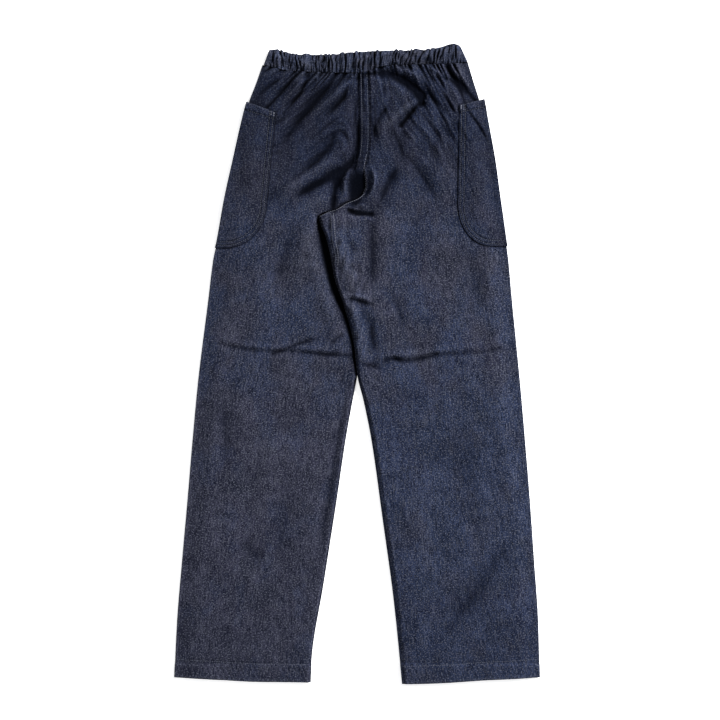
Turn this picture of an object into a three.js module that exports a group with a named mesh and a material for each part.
// Easy-waist denim trousers, laid flat with the front up: an elastic waist casing, two front and
// two back leg panels, and two side pockets that wrap round the side seams.
// Millimetres. x runs to the right of the centre front seam and down runs from the highest point
// of the waist to the hems. The exported group has +Z up, the waist towards +Y and its origin on
// the surface below the middle of the garment.
import * as THREE from "three";

const { clamp, lerp, smoothstep } = THREE.MathUtils;

// Cloth and its seams
const CLOTH = 1.4; // one layer of denim
const SEAM_GAP = 0.3; // between pieces sewn together
const CASING_GAP = 0.6; // the same, along the gathered casing
const HEM_DEPTH = 29; // turned up and stitched
const HEM_EXTRA = 1.2; // how much thicker the turned hem is
const HEM_STEP = 4; // the stretch over which the hem reaches that
const EASE = 3; // air between front and back in the middle of a leg
const EDGE_ROUND = 36; // how far in from a side seam the front reaches its full height
const FLAP_ROUND = 16; // the same, from the fold of the leg that lies on top
const SINK = 30; // how far out the lower leg starts to sink below the upper one
const FLATTER_FROM = 800; // down from here the legs lie flatter,
const FLATTER_BY = 0.35; // by this share at the hem

// The two legs
const LENGTH = 985; // waist to hem along the side, with the casing
const PARTING_DOWN = 517; // where the legs part below the crotch
const LEG_LIFT = 5.4; // the upper leg rides this high over the lower one
const LIFT_SLOPE = 45; // and comes down over this width beside it
const LIFT_STARTS = { from: 187, to: 208 }; // going down the rise seam
const LIFT_ENDS = { from: 501, to: 568 }; // coming off the lower leg
const LIFT_CLEAR = 1; // it is fully up this far before the lower leg's edge
const PARTING_BLEND = 7; // the rise seam turns into two loose edges over this much more

// The waist casing
const CASING_WALL = 2.6; // two layers of denim and the elastic
const CASING_HOLLOW = 2.6;
const CASING_PUFF = 0.9; // the casing's middle stands this much higher
const GATHER_PITCH = 9.3; // mean spacing of the gathers
const GATHER_HEIGHT = 1.7;
const GATHER_FADE = 46; // how far below the casing they run
const GATHER_END = 8; // they die out this close to a side seam

// The pockets
const POCKET_CLEAR = 0.7; // between a pocket and the panel under it
const POCKET_SIDE_CLEAR = 0.6;
const POCKET_RAMP = 30; // over this width the back panel climbs onto the pocket
const POCKET_PLAY = 6; // it is fully up this far before the pocket's mouth and bottom

// The sides of the trousers, where front and back panels are sewn together
const SIDES = [
  { down: 28, left: -152.5, right: 160.5 },
  { down: 65, left: -165.5, right: 171.5 },
  { down: 88, left: -174.3, right: 178.6 },
  { down: 118, left: -183, right: 185.5 },
  { down: 180, left: -198, right: 199.5 },
  { down: 240, left: -211.8, right: 209.4 },
  { down: 302, left: -223.2, right: 218.9 },
  { down: 333, left: -230.2, right: 223.2 },
  { down: 395, left: -237.9, right: 228.9 },
  { down: 518, left: -253.3, right: 241 },
  { down: 703, left: -271.8, right: 255.6 },
  { down: 888, left: -286.8, right: 268.7 },
  { down: 985, left: -290.4, right: 271.8 },
];

// The inner edge of the upper (right) leg: the rise seam, the crotch seam that swings left to the
// crotch point, the folded edge that lies over the other leg, then the inseam
const UPPER_EDGE = [
  { down: 28, x: 3.9 },
  { down: 90, x: 7 },
  { down: 140, x: 8 },
  { down: 180, x: 4 },
  { down: 193, x: 2.5 },
  { down: 210, x: 5 },
  { down: 219, x: 5.5 },
  { down: 230, x: 1.7 },
  { down: 238.7, x: -6.5 },
  { down: 247, x: -25.7 },
  { down: 255.3, x: -39.4 },
  { down: 262.3, x: -58.7 },
  { down: 268, x: -67.6 },
  { down: 284, x: -63.1 },
  { down: 296, x: -57.8 },
  { down: 319, x: -51.5 },
  { down: 340.7, x: -47.4 },
  { down: 362.4, x: -43.6 },
  { down: 379.3, x: -38 },
  { down: 402.4, x: -29.6 },
  { down: 467.2, x: -13.4 },
  { down: 513.5, x: -8 },
  { down: 548.7, x: 0.8 },
  { down: 610, x: 13.1 },
  { down: 733, x: 30.5 },
  { down: 857, x: 47.4 },
  { down: 985, x: 60.4 },
];

// The inner edge of the lower (left) leg, hidden under the upper one down to the parting
const LOWER_EDGE = [
  { down: 208, x: 4.4 },
  { down: 222, x: 12 },
  { down: 240, x: 19 },
  { down: 275, x: 25.4 },
  { down: 335, x: 19.3 },
  { down: 395, x: 10 },
  { down: 456, x: 0 },
  { down: 517, x: -10.2 },
  { down: 549, x: -16.2 },
  { down: 610, x: -27 },
  { down: 703, x: -40.8 },
  { down: 826, x: -60 },
  { down: 949, x: -79.3 },
  { down: 985, x: -80.9 },
];

// The two edges of the waist casing, from its left end to its right end
const CASING_TOP = [
  { x: -142.5, down: 6.6 },
  { x: -130, down: 9.7 },
  { x: -93, down: 16.4 },
  { x: -56, down: 16.4 },
  { x: -19, down: 13 },
  { x: 18, down: 10.5 },
  { x: 92, down: 9 },
  { x: 119, down: 4.6 },
  { x: 138, down: 0 },
  { x: 147, down: 2.2 },
];
const CASING_SEAM = [
  { x: -153, down: 33.5 },
  { x: -113, down: 42.8 },
  { x: -70, down: 45.1 },
  { x: -16, down: 45.7 },
  { x: 4, down: 43.8 },
  { x: 27, down: 36.3 },
  { x: 52, down: 33.9 },
  { x: 116, down: 32.5 },
  { x: 142, down: 31.3 },
  { x: 161, down: 28.2 },
];
const HEM_LINE = [
  { x: -290.4, down: 975.9 },
  { x: -204, down: 981 },
  { x: -81, down: 982.6 },
  { x: 60, down: 985 },
  { x: 149, down: 983.2 },
  { x: 235, down: 978.4 },
  { x: 272, down: 975 },
];

// Each pocket: how far its mouth stands off the side, its mouth from the side to its inner end,
// its straight inner edge, and the round corner that ends at its flat bottom
const POCKETS = [
  {
    name: "pocket_left",
    side: -1,
    mouth: { standOff: 7.4, outerDown: 92, innerDown: 106.7 },
    edge: { top: -139, bottom: -145 },
    corner: { x: -209, down: 245, width: 64, height: 69.6 },
  },
  {
    name: "pocket_right",
    side: 1,
    mouth: { standOff: 9, outerDown: 86, innerDown: 96 },
    edge: { top: 150, bottom: 146.2 },
    corner: { x: 196, down: 250, width: 50, height: 62.3 },
  },
];

// The largest folds of the front, each along a curve through three points. left and right are how
// far it spreads on either side, looking down the curve, and head and tail how much of its height
// it keeps at its two ends.
const FOLDS = [
  // from the casing, right of the rise seam
  { x0: -8, d0: 53, xm: 38, dm: 49, x1: 76, d1: 70, left: 6, right: 12, height: -3, head: 0.4, tail: 1 },
  { x0: 76, d0: 70, xm: 88, dm: 90, x1: 57, d1: 127, left: 7, right: 9, height: -2.8, head: 1, tail: 0 },
  { x0: 60, d0: 45, xm: 92, dm: 66, x1: 112, d1: 112, left: 9, right: 8, height: 2.6, head: 0.6, tail: 0 },
  { x0: 84, d0: 45, xm: 113, dm: 82, x1: 139, d1: 131, left: 7, right: 7, height: -2.2, head: 0.6, tail: 0 },
  { x0: 123, d0: 37, xm: 147, dm: 61, x1: 170, d1: 87, left: 7, right: 7, height: -2.6, head: 0.6, tail: 0.6 },
  // from the casing, left of it
  { x0: -115, d0: 47, xm: -141, dm: 65, x1: -165, d1: 88, left: 6, right: 7, height: -2.2, head: 0.6, tail: 0.4 },
  { x0: -95, d0: 53, xm: -121, dm: 71, x1: -146, d1: 96, left: 6, right: 6, height: -2.2, head: 0.6, tail: 0 },
  { x0: -25, d0: 53, xm: -75, dm: 99, x1: -130, d1: 162, left: 9, right: 9, height: -3, head: 0.7, tail: 0 },
  { x0: -46, d0: 60, xm: -96, dm: 100, x1: -122, d1: 128, left: 9, right: 9, height: 2.4, head: 0.4, tail: 0 },
  // drag lines from the crotch across the lower leg's thigh
  { x0: -44, d0: 145, xm: -98, dm: 194, x1: -186, d1: 250, left: 15, right: 14, height: -2.6, head: 0, tail: 0 },
  { x0: -14, d0: 192, xm: -62, dm: 206, x1: -130, d1: 259, left: 10, right: 13, height: -2.9, head: 0.9, tail: 0 },
  { x0: -36, d0: 170, xm: -88, dm: 210, x1: -150, d1: 262, left: 12, right: 10, height: 2, head: 0.3, tail: 0 },
  // round the crotch seam and down the upper leg
  { x0: 15, d0: 196, xm: 19, dm: 218, x1: 6, d1: 243, left: 7, right: 8, height: 2.8, head: 0, tail: 0.6 },
  { x0: 53, d0: 191, xm: 35, dm: 219, x1: 14, d1: 258, left: 8, right: 11, height: -3, head: 0, tail: 0.9 },
  { x0: 79, d0: 180, xm: 107, dm: 216, x1: 137, d1: 271, left: 11, right: 10, height: -2, head: 0, tail: 0 },
  { x0: 7, d0: 272, xm: 17, dm: 325, x1: 16, d1: 390, left: 9, right: 10, height: -2.2, head: 0.5, tail: 0 },
  { x0: -50, d0: 280, xm: -24, dm: 385, x1: 3, d1: 478, left: 11, right: 10, height: 3.2, head: 0.7, tail: 0.6 },
  // the fold across both legs from being stored folded in half
  { x0: -3, d0: 494, xm: 85, dm: 482, x1: 215, d1: 472, left: 12, right: 7, height: -2.4, head: 1, tail: 0.2 },
  { x0: -130, d0: 480, xm: -80, dm: 476, x1: -34, d1: 478, left: 9, right: 7, height: -1.8, head: 0, tail: 0.8 },
];

// Rows of points across a panel: how far down each lies, and how many points it has. The front has
// many points where the gathers are.
const PANEL_ROWS = [
  45, 52, 62, 74, 87, 100, 113, 127, 141, 156, 172, 187, 198, 208, 215, 222, 229, 235, 240, 245, 250,
  256, 262, 268, 278, 290, 304, 320, 338, 356, 376, 398, 422, 446, 464, 476, 486, 501, 517, 534, 568,
  620, 700, 800, 900, LENGTH - HEM_DEPTH - HEM_STEP, LENGTH - HEM_DEPTH, LENGTH,
];
const FRONT_POINTS = [73, 73, 37, 17]; // in its rows, the last number for all the others
const BACK_POINTS = [25, 13, 9];

// Smooth reading of one column of a table, with no overshoot between its rows
function read(table, along, wanted, at) {
  const last = table.length - 1;
  const t = clamp(at, table[0][along], table[last][along]);
  let i = 0;
  while (i < last - 1 && table[i + 1][along] <= t) i++;
  const rise = (k) =>
    (table[k + 1][wanted] - table[k][wanted]) / (table[k + 1][along] - table[k][along]);
  const slope = (k) => {
    if (k === 0) return rise(0);
    if (k === last) return rise(last - 1);
    const before = rise(k - 1);
    const after = rise(k);
    return before * after <= 0 ? 0 : (2 * before * after) / (before + after);
  };
  const span = table[i + 1][along] - table[i][along];
  const s = (t - table[i][along]) / span;
  return (
    table[i][wanted] * (1 + 2 * s) * (1 - s) ** 2 +
    table[i + 1][wanted] * s * s * (3 - 2 * s) +
    span * s * (1 - s) * (slope(i) * (1 - s) - slope(i + 1) * s)
  );
}

const sideAt = (down, side) => read(SIDES, "down", side < 0 ? "left" : "right", down);
const upperEdge = (down) => read(UPPER_EDGE, "down", "x", down);
const lowerEdge = (down) =>
  down < LOWER_EDGE[0].down ? upperEdge(down) - SEAM_GAP : read(LOWER_EDGE, "down", "x", down);
const casingSeam = (x) => read(CASING_SEAM, "x", "down", x);
const hemLine = (x) => read(HEM_LINE, "x", "down", x);

// A value that climbs evenly from 0 to 1 between two places
const ramp = (at, from, to) => clamp((at - from) / (to - from), 0, 1);

// The distance to a fold's curve, on which side it is, and how far along it the nearest point lies
const FOLD_STEPS = 8;
function nearestOn(fold, x, down) {
  const cx = 2 * fold.xm - (fold.x0 + fold.x1) / 2;
  const cd = 2 * fold.dm - (fold.d0 + fold.d1) / 2;
  const point = (t) => [
    fold.x0 * (1 - t) ** 2 + 2 * cx * t * (1 - t) + fold.x1 * t * t,
    fold.d0 * (1 - t) ** 2 + 2 * cd * t * (1 - t) + fold.d1 * t * t,
  ];
  let best = { distance: Infinity };
  for (let i = 0; i < FOLD_STEPS; i++) {
    const [ax, ad] = point(i / FOLD_STEPS);
    const [bx, bd] = point((i + 1) / FOLD_STEPS);
    const share = clamp(
      ((x - ax) * (bx - ax) + (down - ad) * (bd - ad)) / ((bx - ax) ** 2 + (bd - ad) ** 2),
      0,
      1,
    );
    const distance = Math.hypot(x - lerp(ax, bx, share), down - lerp(ad, bd, share));
    if (distance < best.distance) {
      const turn = (bx - ax) * (down - ad) - (bd - ad) * (x - ax);
      best = { distance, onLeft: turn < 0, t: (i + share) / FOLD_STEPS };
    }
  }
  return best;
}

const FOLD_END = 0.35; // the share of a fold's length over which each end fades
function foldsAt(x, down) {
  let sum = 0;
  for (const fold of FOLDS) {
    const { distance, onLeft, t } = nearestOn(fold, x, down);
    const width = onLeft ? fold.left : fold.right;
    const head = lerp(fold.head, 1, smoothstep(t, 0, FOLD_END));
    const tail = lerp(fold.tail, 1, smoothstep(1 - t, 0, FOLD_END));
    sum += fold.height * head * tail * Math.exp(-((distance / width) ** 2));
  }
  return sum;
}

// Gathers: round ridges with sharp valleys, unevenly spaced, the same on the casing and below it
const GATHER_DRIFT = [
  { share: 0.35, every: 57, from: 0 },
  { share: 0.2, every: 23.7, from: 1.1 },
];
function gather(x) {
  const phase = GATHER_DRIFT.reduce(
    (sum, drift) => sum + drift.share * Math.sin((2 * Math.PI * x) / drift.every + drift.from),
    x / GATHER_PITCH,
  );
  return Math.abs(Math.sin(Math.PI * phase));
}

// A pocket's front leaf at one distance down: the x of its outer fold and of its inner edge
function pocketSpan(pocket, down) {
  const { mouth, edge, corner, side } = pocket;
  const bottom = corner.down + corner.height;
  const open = 1 - ramp(down, mouth.outerDown, bottom);
  const standOff = lerp(CLOTH + POCKET_SIDE_CLEAR, mouth.standOff, open * open);
  const sunk = clamp((down - corner.down) / corner.height, 0, 1);
  const straight = lerp(edge.top, edge.bottom, ramp(down, mouth.outerDown, corner.down));
  const inner =
    down < corner.down ? straight : corner.x - side * corner.width * Math.sqrt(1 - sunk * sunk);
  return { outer: sideAt(Math.min(down, bottom), side) + side * standOff, inner };
}

// How far the back panel is raised by the pocket leaf that passes under it
function overPocket(x, down) {
  let raised = 0;
  for (const pocket of POCKETS) {
    const bottom = pocket.corner.down + pocket.corner.height;
    const { inner } = pocketSpan(pocket, clamp(down, pocket.mouth.outerDown, pocket.corner.down));
    const inside = pocket.side * (x - inner);
    const across = ramp(inside, -2 * POCKET_RAMP, -POCKET_RAMP);
    const above = ramp(down, pocket.mouth.outerDown - POCKET_RAMP, pocket.mouth.outerDown - POCKET_PLAY);
    const below = 1 - ramp(down, bottom + POCKET_PLAY, bottom + POCKET_PLAY + POCKET_RAMP);
    raised = Math.max(raised, across * above * below);
  }
  return raised * (CLOTH + SEAM_GAP);
}

// How far the upper leg is lifted by the lower leg under it
function liftAt(x, down) {
  const beside = clamp((lowerEdge(down) + LIFT_SLOPE + LIFT_CLEAR - x) / LIFT_SLOPE, 0, 1);
  const starts = ramp(down, LIFT_STARTS.from, LIFT_STARTS.to);
  const ends = 1 - ramp(down, LIFT_ENDS.from, LIFT_ENDS.to);
  return LEG_LIFT * beside * starts * ends;
}

const layer = (down) => CLOTH + HEM_EXTRA * ramp(down, LENGTH - HEM_DEPTH - HEM_STEP, LENGTH - HEM_DEPTH);

// The heights of the two faces of a panel at one point of a leg
function backFaces(leg, x, down) {
  const under = overPocket(x, down) + (leg.upper ? liftAt(x, down) : 0);
  return { under, top: under + layer(down) };
}

function frontFaces(leg, x, down) {
  const fromSide = leg.side * (sideAt(down, leg.side) - x);
  const restsAt = down < PARTING_DOWN ? upperEdge(down) : lowerEdge(down);
  const fromInner = leg.upper
    ? smoothstep(x - upperEdge(down), 0, FLAP_ROUND)
    : smoothstep(restsAt - x, 0, SINK);
  const parted = smoothstep(down, LIFT_STARTS.from - PARTING_BLEND, LIFT_STARTS.to + PARTING_BLEND);
  const open = smoothstep(fromSide, 0, EDGE_ROUND) * lerp(1, fromInner, parted);
  const flatter = 1 - FLATTER_BY * smoothstep(down, FLATTER_FROM, LENGTH);
  const belowCasing = clamp(1 - (down - casingSeam(x)) / GATHER_FADE, 0, 1);
  const gathered = GATHER_HEIGHT * gather(x) * belowCasing ** 2 * smoothstep(fromSide, 0, GATHER_END);
  const raised = open * (EASE * flatter + foldsAt(x, down)) + gathered;
  const under = backFaces(leg, x, down).top + SEAM_GAP + Math.max(0, raised);
  return { under, top: under + layer(down) };
}

// A closed wall from rows of {top, under} point pairs. Neighbouring rows may have different
// numbers of points, and loop joins the end of each row to its start.
function wallGeometry(rows, loop = false) {
  const points = [];
  const faces = [];
  const add = (p) => points.push(p[0], p[1], p[2]) / 3 - 1;
  const top = rows.map((row) => row.map((pair) => add(pair.top)));
  const under = rows.map((row) => row.map((pair) => add(pair.under)));
  if (loop) for (const row of [...top, ...under]) row.push(row[0]);
  const quad = (a, b, c, d) => faces.push(a, b, c, a, c, d);
  for (let r = 0; r + 1 < rows.length; r++) {
    const counts = [top[r].length - 1, top[r + 1].length - 1];
    for (let i = 0, k = 0; i < counts[0] || k < counts[1]; ) {
      const upperNext = i < counts[0] && (i + 1) * counts[1] <= (k + 1) * counts[0];
      const next = (level) => (upperNext ? level[r][i + 1] : level[r + 1][k + 1]);
      faces.push(top[r][i], top[r + 1][k], next(top));
      faces.push(under[r + 1][k], under[r][i], next(under));
      if (upperNext) i++;
      else k++;
    }
    if (!loop) {
      const [a, b] = counts;
      quad(top[r][0], under[r][0], under[r + 1][0], top[r + 1][0]);
      quad(top[r + 1][b], under[r + 1][b], under[r][a], top[r][a]);
    }
  }
  const end = rows.length - 1;
  for (let i = 0; i + 1 < top[0].length; i++)
    quad(top[0][i], top[0][i + 1], under[0][i + 1], under[0][i]);
  for (let i = 0; i + 1 < top[end].length; i++)
    quad(top[end][i + 1], top[end][i], under[end][i], under[end][i + 1]);
  const geometry = new THREE.BufferGeometry();
  geometry.setAttribute("position", new THREE.Float32BufferAttribute(points, 3));
  geometry.setIndex(faces);
  geometry.computeVertexNormals();
  return geometry;
}

const at = (x, down, z) => [x, -down, z];

const LEGS = [
  { name: "left", side: -1, upper: false, inner: lowerEdge },
  { name: "right", side: 1, upper: true, inner: upperEdge },
];

// Rows lie level except near the casing and the hem, whose lines they bend to
const BEND_TOP = 120;
const BEND_HEM = 110;
function bent(x, down) {
  const first = PANEL_ROWS[0];
  const toCasing = (casingSeam(x) + CASING_GAP - first) * (1 - ramp(down, first, first + BEND_TOP));
  const toHem = (hemLine(x) - LENGTH) * ramp(down, LENGTH - BEND_HEM, LENGTH);
  return down + toCasing + toHem;
}

function panelRows(leg, faces, counts) {
  return PANEL_ROWS.map((row, r) => {
    const side = sideAt(bent(sideAt(row, leg.side), row), leg.side);
    const ends = [side, leg.inner(row)].sort((a, b) => a - b);
    const n = counts[r] ?? counts.at(-1);
    return Array.from({ length: n }, (_, i) => {
      const x = lerp(ends[0], ends[1], i / (n - 1));
      const down = bent(x, row);
      const { top, under } = faces(leg, x, down);
      return { top: at(x, down, top), under: at(x, down, under) };
    });
  });
}

const frontPanel = (leg) => wallGeometry(panelRows(leg, frontFaces, FRONT_POINTS));
const backPanel = (leg) => wallGeometry(panelRows(leg, backFaces, BACK_POINTS));

// The waist casing: a flattened ring. Its front is gathered and its back rests flat.
const CASING_FRONT_POINTS = 137;
const CASING_BACK_POINTS = 49;
const CASING_TURN_POINTS = 3; // round each end
const CASING_LEVELS = [0, 0.34, 0.68, 1]; // from the top edge to the seam
const CASING_EDGE = 0.12; // this share of its height from each edge, its middle starts to rise
const SCALLOP = 1.2; // the gathers draw the top edge down by this
const GATHER_BASE = 0.5; // their valleys are this much below the plain wall
const FOLD_INSIDE = 0.4; // how far the inside of each end bulges out

function casing() {
  const low = CASING_WALL;
  const high = CASING_WALL + CASING_HOLLOW;
  const middle = (low + high) / 2;
  const rows = CASING_LEVELS.map((level) => {
    const leftEnd = lerp(CASING_TOP[0].x, CASING_SEAM[0].x, level);
    const rightEnd = lerp(CASING_TOP.at(-1).x, CASING_SEAM.at(-1).x, level);
    const inLeft = leftEnd + CASING_WALL;
    const inRight = rightEnd - CASING_WALL;
    const share = (x) => clamp((x - leftEnd) / (rightEnd - leftEnd), 0, 1);
    const downAt = (x, gathered) => {
      const xTop = lerp(CASING_TOP[0].x, CASING_TOP.at(-1).x, share(x));
      const xSeam = lerp(CASING_SEAM[0].x, CASING_SEAM.at(-1).x, share(x));
      const edge = read(CASING_TOP, "x", "down", xTop) + SCALLOP * (1 - gathered);
      return lerp(edge, casingSeam(xSeam), level);
    };
    const puff = CASING_PUFF * Math.sin(Math.PI * clamp(level, CASING_EDGE, 1 - CASING_EDGE));
    const row = [];
    for (let i = 0; i < CASING_FRONT_POINTS; i++) {
      const x = lerp(inLeft, inRight, i / (CASING_FRONT_POINTS - 1));
      const gathered = gather(x);
      const toEnd = smoothstep(Math.min(x - inLeft, inRight - x), 0, GATHER_END);
      const z = high + CASING_WALL + (puff + GATHER_HEIGHT * gathered - GATHER_BASE) * toEnd;
      row.push({ top: at(x, downAt(x, gathered), z), under: at(x, downAt(x, gathered), high) });
    }
    const turn = (inside, side, from) => {
      for (let i = 1; i <= CASING_TURN_POINTS; i++) {
        const angle = from * (Math.PI / 2 - (Math.PI * i) / (CASING_TURN_POINTS + 1));
        const out = Math.cos(angle);
        const up = Math.sin(angle);
        const x = inside + side * CASING_WALL * out;
        row.push({
          top: at(x, downAt(x, 1), middle + (CASING_WALL + CASING_HOLLOW / 2) * up),
          under: at(inside + side * FOLD_INSIDE * out, downAt(inside, 1), middle + (CASING_HOLLOW / 2) * up),
        });
      }
    };
    turn(inRight, 1, 1);
    for (let i = 0; i < CASING_BACK_POINTS; i++) {
      const x = lerp(inRight, inLeft, i / (CASING_BACK_POINTS - 1));
      row.push({ top: at(x, downAt(x, 1), 0), under: at(x, downAt(x, 1), low) });
    }
    turn(inLeft, -1, -1);
    return row;
  });
  return wallGeometry(rows, true);
}

// A side pocket: one piece that runs from the front round the side seam to under the back
const POCKET_ROWS = 13;
const POCKET_FRONT_POINTS = 8;
const POCKET_BACK_POINTS = 5;
const POCKET_TURN_POINTS = 3;
const POCKET_INSIDE = 0.2; // how far the inside of its fold bulges out

function pocketGeometry(pocket) {
  const leg = LEGS.find(({ side }) => side === pocket.side);
  const { mouth, corner, side } = pocket;
  const bottom = corner.down + corner.height;
  const rows = Array.from({ length: POCKET_ROWS }, (_, r) => {
    // rows crowd towards the round corner
    const along = Math.sin(((r / (POCKET_ROWS - 1)) * Math.PI) / 2);
    const down = lerp(mouth.outerDown, bottom, along);
    const { outer, inner } = pocketSpan(pocket, down);
    const slant = (x) => {
      const share = clamp((x - outer) / (inner - outer), 0, 1);
      const room = 1 - ramp(down, mouth.outerDown, corner.down);
      return (mouth.innerDown - mouth.outerDown) * share * room;
    };
    const fold = outer - side * CLOTH; // the inside of the fold round the side seam
    const panelEdge = sideAt(down, side);
    const front = (x) => {
      const over = side * (panelEdge - x) > 0 ? x : panelEdge;
      return frontFaces(leg, over, down + slant(x)).top + POCKET_CLEAR;
    };
    const row = [];
    for (let i = 0; i < POCKET_FRONT_POINTS; i++) {
      const x = lerp(inner, fold, i / (POCKET_FRONT_POINTS - 1));
      const z = front(x);
      row.push({ top: at(x, down + slant(x), z + CLOTH), under: at(x, down + slant(x), z) });
    }
    const high = front(fold);
    const middle = (high + CLOTH) / 2;
    const reach = (high - CLOTH) / 2;
    for (let i = 1; i <= POCKET_TURN_POINTS; i++) {
      const angle = Math.PI / 2 - (Math.PI * i) / (POCKET_TURN_POINTS + 1);
      const out = Math.cos(angle);
      const up = Math.sin(angle);
      row.push({
        top: at(fold + side * CLOTH * out, down, middle + (reach + CLOTH) * up),
        under: at(fold + side * POCKET_INSIDE * out, down, middle + reach * up),
      });
    }
    for (let i = 0; i < POCKET_BACK_POINTS; i++) {
      const x = lerp(fold, inner, i / (POCKET_BACK_POINTS - 1));
      row.push({ top: at(x, down + slant(x), 0), under: at(x, down + slant(x), CLOTH) });
    }
    return side < 0 ? row.reverse() : row;
  });
  return wallGeometry(rows);
}

const denim = (colour) =>
  new THREE.MeshStandardMaterial({ color: colour, roughness: 0.9, metalness: 0, flatShading: true });

function piece(name, geometry, colour) {
  const mesh = new THREE.Mesh(geometry, denim(colour));
  mesh.name = name;
  return mesh;
}

const trousers = new THREE.Group();
for (const leg of LEGS) {
  trousers.add(piece(`front_${leg.name}`, frontPanel(leg), 0x32364a));
  trousers.add(piece(`back_${leg.name}`, backPanel(leg), 0x2f3345));
}
trousers.add(piece("waist_casing", casing(), 0x32374a));
for (const pocket of POCKETS) trousers.add(piece(pocket.name, pocketGeometry(pocket), 0x363a4e));

// The origin is below the middle of the whole garment
const bounds = new THREE.Box3().setFromObject(trousers, true);
const centre = bounds.getCenter(new THREE.Vector3());
trousers.position.set(-centre.x, -centre.y, 0);

export default trousers;
